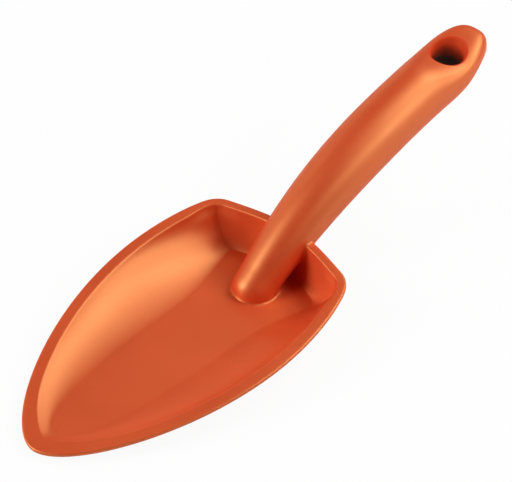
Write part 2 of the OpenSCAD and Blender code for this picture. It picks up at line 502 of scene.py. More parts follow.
@dataclass
class HandleForm:
    """The handle's axis, which lies in the middle plane, and its section along it."""

    length: float = 281.0
    nose: tuple[float, float] = (134.5, 4.9)
    bends: tuple[tuple[float, float], ...] = ((166.5, 34.4), (206.3, 52.0))
    end_height: float = 60.3
    neck_radius: float = 9.8
    grip_radius: float = 13.4
    swell_from: float = 139.0
    swell_run: float = 74.0
    split: float = 0.3
    wall: float = 2.3
    end_up: float = 6.8
    end_down: float = 3.2
    end_rise: float = 3.2
    end_widen: float = 0.4
    end_power: float = 2.3
    end_flat: float = 0.05
    top_square: float = 3.0
    flat_from: float = 44.0
    flat_to: float = 20.0
    cut_from: float = 22.0
    cut_to: float = 4.0
    rise_from: float = 34.0
    rise_to: float = 6.0
    plan_round: float = 30.0
    top_round: float = 8.0
    tang_thick: float = 5.0
    pin_places: tuple[float, float] = (0.4, 0.57)
    pin_radius: float = 2.0
    pin_gap: float = 0.05
    half_length: ClassVar[float] = 140.5

    def curve(self) -> list[tuple[float, float]]:
        """Control points of the axis, in x and z."""
        return [self.nose, *self.bends, (self.length, self.end_height)]

    def axis(self, t: Array) -> Array:
        """Axis points in x and z."""
        return bezier(self.curve(), t)

    def direction(self, t: Array) -> Array:
        """Unit directions of the axis in x and z."""
        return unit(bezier_slope(self.curve(), t))

    def pin_line(self) -> tuple[Array, Array]:
        """The two pin places, and the unit direction from one to the other, in x and z."""
        pins = self.axis(np.array(self.pin_places))
        return pins, unit(pins[1] - pins[0])

    def place_at(self, x: float) -> float:
        """The place along the axis that has a given x."""
        t = np.linspace(0, 1, 4001)
        return float(np.interp(x, self.axis(t)[:, 0], t))

    def tube_radius(self, x: Array) -> Array:
        """Radius of the round stretch: slim at the neck, full at the grip."""
        slim = 1 - clamp01((x - self.swell_from) / self.swell_run)
        return self.grip_radius - (self.grip_radius - self.neck_radius) * slim**2

    def towards_end(self, x: Array, start: float, stop: float) -> Array:
        """A smooth step between two distances from the far end."""
        return ease((x - self.length + start) / (start - stop))

    def round_off(self, x: Array, start: float, end: float) -> Array:
        """Shrinking factor that rounds the far end off."""
        s = clamp01((x - start) / (end - start))
        return (1 - s**self.end_power) ** (1 / self.end_power)

    def skin(self, places: Array, angles: Array, depth: float | Array = 0.0) -> Array:
        """Points of the handle's skin.

        Args:
            places: Places along the axis.
            angles: Angles round the section in degrees, from the +Y side over the top.
            depth: Distance inside the outer skin.

        Returns:
            An array of places by angles by 3.
        """
        middle, ahead = self.axis(places)[:, None, :], self.direction(places)[:, None, :]
        turn = np.radians(np.asarray(angles, float))[None, :]
        depth = np.asarray(depth, float)
        x, end = middle[..., 0], self.length
        flat = self.towards_end(x, self.flat_from, self.flat_to)
        cut = self.towards_end(x, self.cut_from, self.cut_to)
        tip, tube = end - depth, self.tube_radius(x)
        crown = self.round_off(x, end - self.top_round, tip)
        plan = self.round_off(x, end - self.plan_round, tip)
        side = (tube + self.end_widen * flat - depth) * plan
        up = (mix(tube, self.end_up, flat) - depth) * crown
        down = (mix(tube, self.end_down, cut) - depth) * crown
        high, wide = np.sin(turn), np.cos(turn)
        over = high > 1e-9
        power = 2 / np.where(over, mix(2.0, self.top_square, flat), 2.0)
        rise = self.end_rise * self.towards_end(x, self.rise_from, self.rise_to)
        lift = rise + np.sign(high) * np.abs(high) ** power * np.where(over, up, down)
        spread = np.sign(wide) * np.abs(wide) ** power * side
        return np.stack([x - ahead[..., 1] * lift, spread, middle[..., 1] + ahead[..., 0] * lift], -1)

    def nearest(self, p: Array) -> tuple[Array, Array]:
        """The axis points nearest to given points, and the axis direction there.

        Args:
            p: Points, one in each row.

        Returns:
            The axis points and unit directions, in x and z.
        """
        t = np.linspace(0, 1, 241)
        gap = ((p[:, None, [0, 2]] - self.axis(t)[None]) ** 2).sum(-1)
        best = t[np.argmin(gap, 1)]
        for _ in range(3):
            slope = bezier_slope(self.curve(), best)
            ahead = ((p[:, [0, 2]] - self.axis(best)) * slope).sum(1)
            best = clamp01(best + ahead / (slope**2).sum(1))
        return self.axis(best), self.direction(best)

    def neck_reach(self, p: Array) -> Array:
        """Signed distance to the neck, a round tube with a round nose.

        Args:
            p: Points, one in each row.

        Returns:
            The distances, negative inside.
        """
        c, _ = self.nearest(p)
        gap = np.sqrt((p[:, 0] - c[:, 0]) ** 2 + p[:, 1] ** 2 + (p[:, 2] - c[:, 1]) ** 2)
        return gap - self.tube_radius(c[:, 0])

    def neck_distance(self, p: Array) -> tuple[Array, Array]:
        """Signed distance to the neck, and the direction in which it grows.

        Args:
            p: Points, one in each row.

        Returns:
            The distances and the unit directions.
        """
        step = 0.01
        grow = [self.neck_reach(p + step * e) - self.neck_reach(p - step * e) for e in np.eye(3)]
        return self.neck_reach(p), unit(np.stack(grow, 1))


@dataclass
class Piece:
    """A piece of the trowel: its name, the frame node that it stands for, and its material slot."""

    name: str
    node: str
    slot: Slot
    handle: HandleForm

    def dress(self, skin: Skin, finish: Material) -> None:
        """Turns the piece's skin into an object with its finish, and ties it to the frame.

        Args:
            skin: The piece's finished skin.
            finish: Its material.
        """
        piece = skin.to_object(self.name)
        piece.data.materials.append(finish)
        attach(piece, BODY)
        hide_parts(self.node)
        open_edges = sum(len(e) for e in skin.loops())
        log.info("%s: %d faces, %d open edges", self.name, len(piece.data.polygons), open_edges)


@dataclass
class Blade(Piece):
    """The scoop with its lip and heel wall, the neck stub that stands in it, and the tang."""

    length: float = 160.0
    half_width: float = 48.8
    tilt: float = math.radians(7.3)
    tip_height: float = 3.6
    floor: float = 3.2
    half_floor: float = 16.55
    wall: float = 2.6
    lip: float = 5.2
    lip_tip: float = 7.2
    lip_heel: float = 3.8
    lip_tip_run: float = 14.0
    lip_heel_from: float = 26.0
    lip_heel_to: float = 14.0
    lip_thick: float = 2.0
    rim_widest: float = 0.65
    floor_widest: float = 0.603
    wall_top: float = 0.95
    wall_steps: int = 30
    back_top: float = 0.94
    back_foot: float = 0.06
    back_steps: int = 19
    brow_round: float = 0.7
    edge_round: float = 0.8
    edge_low_round: float = 0.7
    armpit_round: float = 0.9
    sole_round: float = 1.3
    sole_inset: float = 2.0
    underside_out: float = 1.8
    underside_top: float = 1.5
    crease_before: int = 7
    crease_after: int = 13
    crease_top: float = 0.82
    neck_foot: float = 1.6
    neck_arcs: int = 96
    neck_steps: int = 46
    nose_turn: float = 75.0
    nose_steps: int = 12
    fillet: float = 1.2
    fillet_in: float = 0.4
    strip: float = 0.25
    tang_wide: float = 12.0
    tang_back: float = 9.0
    tang_ahead: float = 8.0
    tang_steps: tuple[int, int] = (57, 17)
    steps: tuple[int, ...] = (56, 20, 16, 32)
    bulge_smooth: int = 13
    bulges: tuple[tuple[float, float, float, float], ...] = (
        (0.0, 0.40, 0.49, 0.40),
        (0.36, 0.30, 0.62, 0.37),
        (0.71, 0.20, 0.74, 0.34),
        (1.2, 0.16, 0.85, 0.31),
        (1.7, 0.26, 0.92, 0.36),
        (2.2, 0.32, 1.0, 0.45),
        (2.6, 0.32, 1.0, 0.45),
        (3.1, 0.26, 0.84, 0.34),
        (4.0, 0.32, 0.80, 0.34),
    )

    def outline(self, segments: Sequence[Sequence[Sequence[float]]]) -> Array:
        """A closed plan outline from the curves of its +Y half, tip first.

        Args:
            segments: Control points of each curve.

        Returns:
            The outline points, in order.
        """
        half = [bezier(s, np.arange(n) / n) for s, n in zip(segments, self.steps)]
        half = np.vstack([*half, [segments[-1][3]]])
        return np.vstack([half, half[-2:0:-1] * [1, -1]])

    def rim(self) -> Array:
        """Outline of the lip's outer edge, in the lip's own plane.

        Returns:
            The outline points, in order.
        """
        half, wide, end = self.half_width, self.rim_widest * self.length, self.length
        corner, heel = np.array([end - 14, 0.85 * half]), np.array([end - 6, 0.665 * half])
        return self.outline([
            [(0, 0), (0, 17.8), (wide / 2, half), (wide, half)],
            [(wide, half), (wide + 15.5, half), corner + [-10.5, 4.4], corner],
            [corner, corner + [4.5, -1.9], heel + [-1, 3.9], heel],
            [heel, heel + [3, -10.6], (end, 12), (end, 0)],
        ])

    def floor_edge(self) -> Array:
        """Outline of the flat scoop floor, with a tight turn at each heel corner.

        Returns:
            The outline points, in order.
        """
        half, wide, end = self.half_floor, self.floor_widest * self.length, self.length
        corner, heel, turn = np.array([end - 15.2, half + 7.9]), end - 7.5, 0.85
        near, far = corner + [-4.0, -0.7], corner + [2.4, -3.4]
        return self.outline([
            [(13.1, 0), (13.1, 10.3), (wide / 2, half), (wide, half)],
            [(wide, half), (wide + 20, half), (end - 34, half + 2.8), near],
            [near, mix(near, corner, turn), mix(far, corner, turn), far],
            [far, (end - 10.6, half + 0.5), (heel, 8), (heel, 0)],
        ])

    def on_lip(self, ring: Array, up: float) -> Array:
        """Lifts an outline from the lip's plane into space.

        Args:
            ring: Outline in the plane of the lip.
            up: Height above that plane.

        Returns:
            The points in x, y, z.
        """
        along, across = ring[:, 0], ring[:, 1]
        level, rise = math.cos(self.tilt), math.sin(self.tilt)
        height = self.tip_height + along * rise + up * level
        return np.stack([along * level - up * rise, across, height], 1)

    def lip_widths(self, ring: Array) -> Array:
        """Width of the flat lip at each point of the rim.

        Args:
            ring: Outline of the rim.

        Returns:
            One width for each point.
        """
        along, start, stop = ring[:, 0], self.lip_heel_from, self.lip_heel_to
        tip = (self.lip_tip - self.lip) * np.exp(-((along / self.lip_tip_run) ** 2))
        heel = (self.lip_heel - self.lip) * ease((along - self.length + start) / (start - stop))
        return self.lip + tip + heel

    @staticmethod
    def at_height(ring: Array, z: float) -> Array:
        """A plan outline at one height."""
        return np.column_stack([ring, np.full(len(ring), z)])

    def bulge(self) -> tuple[Array, Array]:
        """How the wall bends at each outline point: shares of its reach for its two control rings.

        Returns:
            The shares of the first and of the second control ring, in x, y, z.
        """
        stretches = [k + np.arange(n) / n for k, n in enumerate(self.steps)]
        place = np.concatenate([*stretches, [len(self.steps)]])
        table = np.array(self.bulges)
        near, out, up = (np.interp(place, table[:, 0], table[:, k]) for k in (1, 2, 3))
        first, second = np.stack([near, near, 0 * near], 1), np.stack([out, out, up], 1)
        width = self.bulge_smooth
        window, over = np.ones(width) / width, width // 2
        both = []
        for half in (first, second):
            ring = np.vstack([half, half[-2:0:-1]])
            wrapped = np.vstack([ring[-over:], ring, ring[:over]])
            smooth = [np.convolve(wrapped[:, k], window, "valid") for k in range(3)]
            both.append(np.stack(smooth, 1))
        return both[0], both[1]

    def wall_rings(self, low: Array, high: Array, stops: Array) -> list[Array]:
        """Rings of a wall that leaves the floor level and stands up towards the lip.

        Args:
            low: Ring at the foot.
            high: Ring at the top.
            stops: Places up the wall, from 0 to 1.

        Returns:
            One ring for each place.
        """
        first, second = self.bulge()
        curve = [low, low + (high - low) * first, low + (high - low) * second, high]
        return [bezier(curve, np.full(len(low), s)) for s in stops]

    def creased(self, ring: Array) -> Array:
        """The lip's inner outline with each heel corner drawn in to the line where the walls meet.

        Args:
            ring: The lip's inner outline.

        Returns:
            The outline with its creases.
        """
        out, n = ring.copy(), len(ring)
        start = sum(self.steps[:2])
        corner = start + self.steps[2] // 2
        for far in (start - self.crease_before, start + self.steps[2] + self.crease_after):
            step = 1 if far < corner else -1
            way = np.arange(far, corner + step, step)
            stretch = np.linalg.norm(np.diff(ring[way], axis=0), axis=1)
            gone = np.concatenate([[0], np.cumsum(stretch)])
            s = (gone / gone[-1])[:, None]
            out[way] = mix(ring[way], mix(ring[far], ring[corner], s), ease(2 * s))
        half = np.arange(1, n // 2)
        out[n - half] = out[half] * [1, -1, 1]
        return out

    def inner_wall(self, low: Array, high: Array, stops: Array) -> list[Array]:
        """Rings of the scoop's inner wall: creased at the heel corners, rounding off below the lip.

        Args:
            low: Ring at the foot.
            high: Ring at the top.
            stops: Places up the wall, from 0 to 1.

        Returns:
            One ring for each place.
        """
        sharp = self.wall_rings(low, self.creased(high), stops)
        soft = self.wall_rings(low, high, stops)
        fade = ease((stops - self.crease_top) / (1 - self.crease_top))
        return [mix(a, b, f) for a, b, f in zip(sharp, soft, fade)]

    def floor_patch(self, skin: Skin, ring: Array) -> None:
        """Fills a flat outline with quads that run from the tip to the heel.

        Args:
            skin: The skin that holds the outline.
            ring: Indices of the outline's points.
        """
        n = len(ring)
        corner = sum(self.steps[:2]) + self.steps[2] // 2
        p = skin.points[ring]
        left, right = p[: corner + 1], p[-np.arange(corner + 1)]
        heel = p[corner : n - corner + 1]
        along = np.linalg.norm(left - left[0], axis=1)
        u = (along / along[-1])[:, None, None]
        v = np.linspace(0, 1, len(heel))[None, :, None]
        straight = mix(heel[0], heel[-1], v)
        grid = mix(left[:, None], right[:, None], v) + u * (heel[None] - straight)
        skin.patch(skin.add(grid))

    def scoop(self) -> Skin:
        """The scoop as one closed skin, without the neck.

        Returns:
            The closed skin.
        """
        rim, edge = self.rim(), self.floor_edge()
        widths = self.lip_widths(rim)
        floor_in = self.at_height(edge, self.floor)
        lip_in = self.on_lip(inset(rim, widths), 0)
        rim_top, rim_low = self.on_lip(rim, 0), self.on_lip(rim, -self.lip_thick)
        under = self.on_lip(inset(rim, widths - self.wall), -self.lip_thick)
        out = self.at_height(inset(edge, np.full(len(edge), -self.underside_out)), 0)
        flat_out = self.at_height(inset(edge, np.full(len(edge), self.sole_inset)), 0)
        wall = self.inner_wall(floor_in, lip_in, np.linspace(0, self.wall_top, self.wall_steps))
        full, shared = 0.9, 0.45
        brow_reach = reach_in(wall[-1], lip_in, self.brow_round, full)
        brow = rounded_corner(wall[-1], lip_in, rim_top, brow_reach, 5)
        lip = [mix(brow[-1], rim_top, s) for s in (0.3, 0.6)]
        edge_top = rounded_corner(lip_in, rim_top, rim_low, self.edge_round, 5)
        edge_reach = reach_in(rim_low, under, self.edge_low_round, shared)
        edge_low = rounded_corner(rim_top, rim_low, under, edge_reach, 4)
        stops = np.linspace(self.back_top, self.back_foot, self.back_steps)
        back = self.wall_rings(out, under, stops)
        pit_reach = np.minimum(
            reach_in(rim_low, under, self.armpit_round, shared),
            reach_in(under, back[0], self.armpit_round, full),
        )
        armpit = rounded_corner(rim_low, under, back[0], pit_reach, 4)
        sole_reach = reach_in(out, back[-1], self.sole_round, full)
        sole = rounded_corner(back[-1], out, flat_out, sole_reach, 5)
        rings = np.stack([*wall, *brow, *lip, *edge_top, *edge_low, *armpit, *back, *sole])
        skin = Skin()
        index = skin.add(rings)
        skin.patch(index, closed=True)
        self.floor_patch(skin, index[0])
        self.floor_patch(skin, index[-1])
        return self.consistent(skin.welded())

    @staticmethod
    def consistent(skin: Skin) -> Skin:
        """A closed skin with all its faces looking outwards.

        Args:
            skin: A closed skin whose faces may look either way.

        Returns:
            The new skin.
        """
        work = bmesh.new()
        made = [work.verts.new(p) for p in skin.points.tolist()]
        for f in skin.faces:
            work.faces.new([made[v] for v in f])
        bmesh.ops.recalc_face_normals(work, faces=work.faces[:])
        work.verts.index_update()
        skin = Skin(skin.points, [tuple(v.index for v in f.verts) for f in work.faces])
        work.free()
        return skin.outwards()

    def neck(self) -> Skin:
        """The neck as an open round tube from its nose to the split, before the scoop trims it.

        Returns:
            The open skin.
        """
        form = self.handle
        angles = np.linspace(0, 360, self.neck_arcs, endpoint=False)
        places = np.linspace(0, form.split, self.neck_steps)
        ahead, radius = form.direction(places[:1])[0], form.neck_radius
        over, side = radius * np.sin(np.radians(angles)), radius * np.cos(np.radians(angles))
        nose = []
        for turn in np.radians(np.linspace(self.nose_turn, 0, self.nose_steps)[:-1]):
            x, z = np.array(form.nose) - ahead * radius * math.sin(turn)
            lift = over * math.cos(turn)
            nose.append(np.stack([x - ahead[1] * lift, side * math.cos(turn), z + ahead[0] * lift], 1))
        skin = Skin()
        rings = np.concatenate([np.stack(nose), form.skin(places, angles)])
        skin.patch(skin.add(rings), closed=True)
        return skin

    def cut_to_fillet(
        self, skin: Skin, gap: Array, apart: Array, kept: float, own: Distance, other: Distance
    ) -> Skin:
        """Draws a skin onto the fillet between two solids, and trims it near the fillet's middle line.

        Args:
            skin: The skin of one solid.
            gap: Distance of its points from the other solid.
            apart: Which of its points take no part.
            kept: Trimming value of those points, positive where they stay.
            own: Distance to the skin's own solid.
            other: Distance to the other solid.

        Returns:
            The trimmed skin.
        """
        radius = self.fillet
        blend = ~apart & (gap < radius) & (gap > -self.fillet_in * radius)
        keep = np.where(apart, kept, gap)
        moved = settle(skin.points[blend], own, other, radius)
        skin.points[blend] = moved
        ahead = other(moved)[0] - own(moved)[0]
        keep[blend] = np.where(gap[blend] < 0, np.minimum(ahead, gap[blend]), ahead)
        return skin.trimmed(keep - self.strip)

    def build(self) -> Skin:
        """The scoop and the neck as one closed skin, with a fillet where they meet, and the tang.

        Returns:
            The finished skin.
        """
        form = self.handle
        scoop, neck = self.scoop(), self.neck()
        to_scoop, to_neck = skin_distance(scoop), form.neck_distance
        stays, goes = 9.0, -1.0
        underside = scoop.points[:, 2] < self.underside_top
        gap = form.neck_reach(scoop.points)
        scoop = self.cut_to_fillet(scoop, gap, underside, stays, to_scoop, to_neck)
        deep, _ = to_scoop(neck.points)
        deep = np.where(deep < -self.wall, -deep, deep)
        hidden = neck.points[:, 2] < self.neck_foot
        neck = self.cut_to_fillet(neck, deep, hidden, goes, to_neck, to_scoop)
        whole = Skin()
        first, second = whole.join(scoop), whole.join(neck)

        def middle_x(ring: Array) -> float:
            """Middle of a ring along the tool, by which the seams are put in order."""
            return float(whole.points[ring, 0].mean())

        edges = sorted((first[e] for e in scoop.loops()), key=middle_x)
        *ends, split = sorted((second[e] for e in neck.loops()), key=middle_x)
        log.info("seams of the neck: %s and %s", [len(e) for e in edges], [len(e) for e in ends])
        for ring in (*edges, *ends):
            whole.points[ring] = settle(whole.points[ring], to_scoop, to_neck, self.fillet)
        for one, two in zip(edges, ends):
            whole.zip_loops(one.tolist(), two.tolist())
        whole.cap(split, flip=True)
        whole.join(self.tang())
        return whole

    def tang(self) -> Skin:
        """The flat tang that runs from the stub into the handle, with its two pin holes.

        Returns:
            The closed skin.
        """
        form = self.handle
        pins, along = form.pin_line()
        reach = float(np.linalg.norm(pins[1] - pins[0]))
        rows, columns = self.tang_steps
        length = np.linspace(-self.tang_back, reach + self.tang_ahead, rows)
        width = np.linspace(-1, 1, columns) * self.tang_wide / 2
        grid = np.stack(np.meshgrid(length, width, indexing="ij"), -1)
        hole = np.hypot(grid[..., 0], grid[..., 1])
        hole = np.minimum(hole, np.hypot(grid[..., 0] - reach, grid[..., 1]))
        whole = Skin()
        rims: list[list[Array]] = []
        for h in (form.tang_thick / 2, -form.tang_thick / 2):
            at = pins[0] + grid[..., :1] * along + h * np.array([-along[1], along[0]])
            face = Skin()
            face.patch(face.add(np.stack([at[..., 0], grid[..., 1], at[..., 1]], -1)))
            face = face.trimmed(hole.ravel() - form.pin_radius - form.pin_gap)
            face = face if h < 0 else face.turned()
            index = whole.join(face)
            edges = sorted(face.loops(), key=lambda e: (-len(e), face.points[e[0], 0]))
            rims.append([index[e] for e in edges])
        for one, two in zip(*rims):
            whole.zip_loops(one.tolist(), two.tolist())
        return whole.outwards()


@dataclass
class HandleShell(Piece):
    """One half of the hollow handle, from the split to the far end, with two bosses inside."""

    half: Half
    hole_gap: float = 0.05
    groove: float = 0.08
    groove_wide: float = 1.3
    groove_fade: float = 9.0
    groove_end: float = 4.0
    boss_radius: float = 4.2
    boss_gap: float = 0.15
    boss_bevel: float = 0.3
    boss_hole: float = 6.55
    boss_steps: int = 40
    rings: int = 104
    crowding: float = 1.7
    arcs: int = 44

    def places(self, depth: float) -> Array:
        """Places of the rings along the axis, closer together towards the end.

        Args:
            depth: Distance of the rings inside the outer skin.

        Returns:
            Places from 0 to 1.
        """
        form = self.handle
        slope = bezier_slope(form.curve(), np.array([1.0]))[0]
        end = 1 - (depth + form.end_flat) / float(np.linalg.norm(slope))
        s = np.linspace(0, 1, self.rings)
        return mix(form.split, end, 1 - (1 - s) ** self.crowding)

    def angles(self) -> Array:
        """Angles of the rows round the half, with one row close to each seam."""
        a, g = np.linspace(0, 180, self.arcs + 1)[1:-1], self.groove_wide
        return self.half.value + np.concatenate([[0.0, g], a, [180 - g, 180.0]])

    def outer(self) -> Skin:
        """The outer skin alone, without the hole.

        Returns:
            The open skin.
        """
        skin = Skin()
        skin.patch(skin.add(self.handle.skin(self.places(0.0), self.angles())))
        return skin

    def build(self, hole: "HangHole") -> Skin:
        """The shell as one closed skin with its bosses.

        Args:
            hole: The hanging hole, which cuts through the shell.

        Returns:
            The finished skin.
        """
        form, a = self.handle, self.angles()
        places = self.places(0.0)
        out = form.skin(places, a)
        seam = (a - self.half.value) % 180 == 0
        fade = 1 - form.towards_end(form.axis(places)[:, 0], self.groove_fade, self.groove_end)
        out[:, seam] = form.skin(places, a[seam], self.groove * fade[:, None])
        skin = Skin()
        outer = skin.add(out)
        inner = skin.add(form.skin(self.places(form.wall), a, form.wall))
        skin.patch(outer)
        skin.patch(inner[:, ::-1])
        rim = np.concatenate([outer[::-1, 0], outer[0, 1:], outer[1:, -1]])
        rim_in = np.concatenate([inner[::-1, 0], inner[0, 1:], inner[1:, -1]])
        skin.patch(np.vstack([rim_in[None], rim[None]]), closed=True)
        skin.cap(outer[-1])
        skin.cap(inner[-1], flip=True)
        cut = skin.trimmed(hole.gap_to_axis(skin.points) - hole.outside - self.hole_gap)
        edges = sorted(cut.loops(), key=lambda e: float(hole.height(cut.points[e]).mean()))
        cut.zip_loops(edges[0], edges[-1])
        whole = cut.outwards()
        for place in form.pin_places:
            whole.join(self.boss(place))
        return whole

    def boss(self, place: float) -> Skin:
        """One boss with its blind pin hole, between the tang and the shell.

        Args:
            place: Place of its pin along the axis.

        Returns:
            The closed skin.
        """
        form = self.handle
        c = form.axis(np.array([place]))[0]
        _, d = form.pin_line()
        up = np.array([-d[1], 0.0, d[0]]) * (1 if self.half is Half.UPPER else -1)
        base = form.tang_thick / 2 + self.boss_gap
        top = float(form.tube_radius(c[0])) - form.wall / 2
        bore, deep = form.pin_radius + form.pin_gap, form.tang_thick / 2 + self.boss_hole
        r, b = self.boss_radius, self.boss_bevel
        profile = [
            (0, deep), (bore, deep), (bore, base + b), (bore + b, base),
            (r - b, base), (r, base + b), (r, top), (0, top),
        ]
        return revolved(profile, np.array([c[0], 0.0, c[1]]), up, self.boss_steps)


@dataclass
class HangHole(Piece):
    """The hanging hole: its axis, and the sleeve with a flared top that lines it."""

    from_end: float = 22.3
    lean: float = math.radians(8)
    bore: float = 7.2
    outside: float = 9.0
    top_roll: float = 0.9
    roll_turn: float = 1.3
    flare: float = 4.5
    low_roll: float = 0.6
    bowl_share: float = 0.55
    bowl_drops: tuple[float, float] = (1.2, 2.4)
    steps: int = 80
    probe: float = 40.0
    middle: Array = field(init=False)
    ahead: Array = field(init=False)
    up: Array = field(init=False)

    def __post_init__(self) -> None:
        """Works out the hole's axis."""
        t = np.array([self.handle.place_at(self.handle.length - self.from_end)])
        c, d = self.handle.axis(t)[0], self.handle.direction(t)[0]
        slope = math.atan2(d[1], d[0]) - self.lean
        self.middle = np.array([c[0], 0.0, c[1]])
        self.ahead = np.array([math.cos(slope), 0.0, math.sin(slope)])
        self.up = np.array([-math.sin(slope), 0.0, math.cos(slope)])

    def height(self, p: Array) -> Array:
        """Height of points along the hole's axis."""
        return (p - self.middle) @ self.up

    def frame_middle(self) -> Triple:
        """The middle of the hole in the frame, in metres."""
        x, y, z = self.middle.tolist()
        return ((x - self.handle.half_length) * MM, y * MM, z * MM)

    def gap_to_axis(self, p: Array) -> Array:
        """Distance of points from the hole's axis."""
        return np.hypot((p - self.middle) @ self.ahead, p[:, 1])

    def skin_height(self, skin: Skin, radius: float, ring: Array, side: float) -> Array:
        """Height of a handle skin round the hole.

        Args:
            skin: The upper or lower outer skin.
            radius: Distance from the axis.
            ring: Unit directions round the axis.
            side: 1 for the top and -1 for the underside.

        Returns:
            The height at each angle.
        """
        tree = BVHTree.FromPolygons(skin.points.tolist(), skin.faces)
        found = []
        for way in ring:
            start = self.middle + radius * way + side * self.probe * self.up
            hit = tree.ray_cast(Vector(start), Vector(-side * self.up))[0]
            found.append(float(self.height(np.array(hit)[None])[0]))
        return np.array(found)

    def build(self, upper: Skin, lower: Skin) -> Skin:
        """The sleeve as one closed skin that meets both shells flush.

        Args:
            upper: Outer skin of the upper shell.
            lower: Outer skin of the lower shell.

        Returns:
            The sleeve.
        """
        turn = np.linspace(0, 2 * math.pi, self.steps, endpoint=False)
        across = np.array([0.0, 1.0, 0.0])
        ring = np.cos(turn)[:, None] * self.ahead + np.sin(turn)[:, None] * across
        rows = []

        def row(radius: float, height: Array) -> None:
            """Adds one ring at a radius, with its height at each angle."""
            rows.append(self.middle + radius * ring + height[:, None] * self.up)

        turns, top, low = np.linspace(0, self.roll_turn, 7), self.top_roll, self.low_roll
        roll = [(top * math.sin(w), top * (1 - math.cos(w))) for w in turns]
        wide = self.outside - self.bore
        first, second = self.bowl_drops
        bend = [roll[-1], (self.bowl_share * wide, first), (wide, second), (wide, self.flare)]
        bowl = bezier(bend, np.linspace(0, 1, 9)[1:])
        for gone, drop in [*roll, *bowl]:
            r = self.outside - gone
            row(r, self.skin_height(upper, r, ring, 1) - drop)
        start = self.height(rows[-1])
        stop = self.skin_height(lower, self.bore, ring, -1) + low
        for s in np.linspace(0, 1, 8)[1:-1]:
            row(self.bore, mix(start, stop, s))
        for w in np.linspace(math.pi / 2, 0, 6):
            r = self.bore + low * (1 - math.sin(w))
            row(r, self.skin_height(lower, r, ring, -1) + low * (1 - math.cos(w)))
        for r in np.linspace(self.bore + low, self.outside, 5)[1:]:
            row(r, self.skin_height(lower, r, ring, -1))
        skin = Skin()
        index = skin.add(np.stack(rows))
        skin.patch(np.vstack([index, index[:1]]), closed=True)
        return skin.outwards()


@dataclass
class TangPins(Piece):
    """Two dowels with bevelled ends that lock the tang between the shells."""

    half_length: float = 8.9
    bevel: float = 0.4
    steps: int = 32

    def build(self) -> Skin:
        """Both dowels in one skin.

        Returns:
            The finished skin.
        """
        form, whole = self.handle, Skin()
        pins, d = form.pin_line()
        r, h, b = form.pin_radius, self.half_length, self.bevel
        profile = [(0, -h), (r - b, -h), (r, b - h), (r, 0), (r, h - b), (r - b, h), (0, h)]
        for c in pins:
            middle = np.array([c[0], 0.0, c[1]])
            whole.join(revolved(profile, middle, np.array([-d[1], 0.0, d[0]]), self.steps))
        return whole


# Finishes


class Nodes:
    """A short way to place and link shader nodes in one tree."""

    def __init__(self, tree: Tree) -> None:
        """Keeps the tree that the nodes go into."""
        self.tree = tree

    def add(self, kind: str, **inputs: object) -> bpy.types.Node:
        """Places a node.

        Args:
            kind: The node's type name.
            inputs: Socket values or links by name, with spaces as underscores, and node settings.

        Returns:
            The new node.
        """
        node = self.tree.nodes.new(kind)
        for key, value in inputs.items():
            name = key.replace("_", " ")
            if name in node.inputs:
                self.feed(node.inputs[name], value)
            else:
                setattr(node, key, value)
        return node

    def feed(self, socket: Socket, value: object) -> None:
        """Links a link to a socket, or sets the socket's value.

        Args:
            socket: The input socket.
            value: A link or a value.
        """
        if isinstance(value, Socket):
            self.tree.links.new(value, socket)
        else:
            socket.default_value = value

    def math(self, operation: str, a: object, b: object = 0.0) -> Socket:
        """A math node's result.

        Args:
            operation: What the node does.
            a: First value or link.
            b: Second value or link.

        Returns:
            The result as a link.
        """
        node = self.tree.nodes.new("ShaderNodeMath")
        node.operation = operation
        for socket, value in zip(node.inputs, (a, b)):
            self.feed(socket, value)
        return node.outputs[0]

    def vector(self, operation: str, a: Socket, b: Triple = (0.0, 0.0, 0.0)) -> bpy.types.Node:
        """A vector math node on a link and a fixed vector.

        Args:
            operation: What the node does.
            a: The link.
            b: The fixed vector.

        Returns:
            The node.
        """
        node = self.tree.nodes.new("ShaderNodeVectorMath")
        node.operation = operation
        self.tree.links.new(a, node.inputs[0])
        node.inputs[1].default_value = b
        return node

    def remap(
        self, value: Socket, low: float, high: float, start: float = 0.0, end: float = 1.0
    ) -> Socket:
        """A value taken from one range into another, held at its ends.

        Args:
            value: The link.
            low: Start of the range that it comes from.
            high: End of that range.
            start: Start of the range that it goes to.
            end: End of that range.

        Returns:
            The result as a link.
        """
        node = self.add("ShaderNodeMapRange", From_Min=low, From_Max=high, To_Min=start, To_Max=end)
        self.feed(node.inputs["Value"], value)
        return node.outputs["Result"]


def new_group(
    name: str, inputs: dict[str, tuple[str, float]], outputs: dict[str, str]
) -> tuple[Nodes, bpy.types.Node, bpy.types.Node]:
    """Starts a shader node group with named sockets.

    Args:
        name: The group's name.
        inputs: Socket type and default by name.
        outputs: Socket type by name.

    Returns:
        Its nodes, its input node and its output node.
    """
    tree = bpy.data.node_groups.new(name, "ShaderNodeTree")
    for key, (kind, default) in inputs.items():
        socket = tree.interface.new_socket(name=key, in_out="INPUT", socket_type=kind)
        if kind == "NodeSocketFloat":
            socket.default_value = default
    for key, kind in outputs.items():
        tree.interface.new_socket(name=key, in_out="OUTPUT", socket_type=kind)
    nodes = Nodes(tree)
    return nodes, nodes.add("NodeGroupInput"), nodes.add("NodeGroupOutput")


def new_material(name: str) -> tuple[Material, Nodes]:
    """Starts a material with an empty tree.

    Args:
        name: The material's name.

    Returns:
        The material, and the nodes of its tree.
    """
    made = bpy.data.materials.new(name)
    made.use_nodes = True
    made.node_tree.nodes.clear()
    return made, Nodes(made.node_tree)


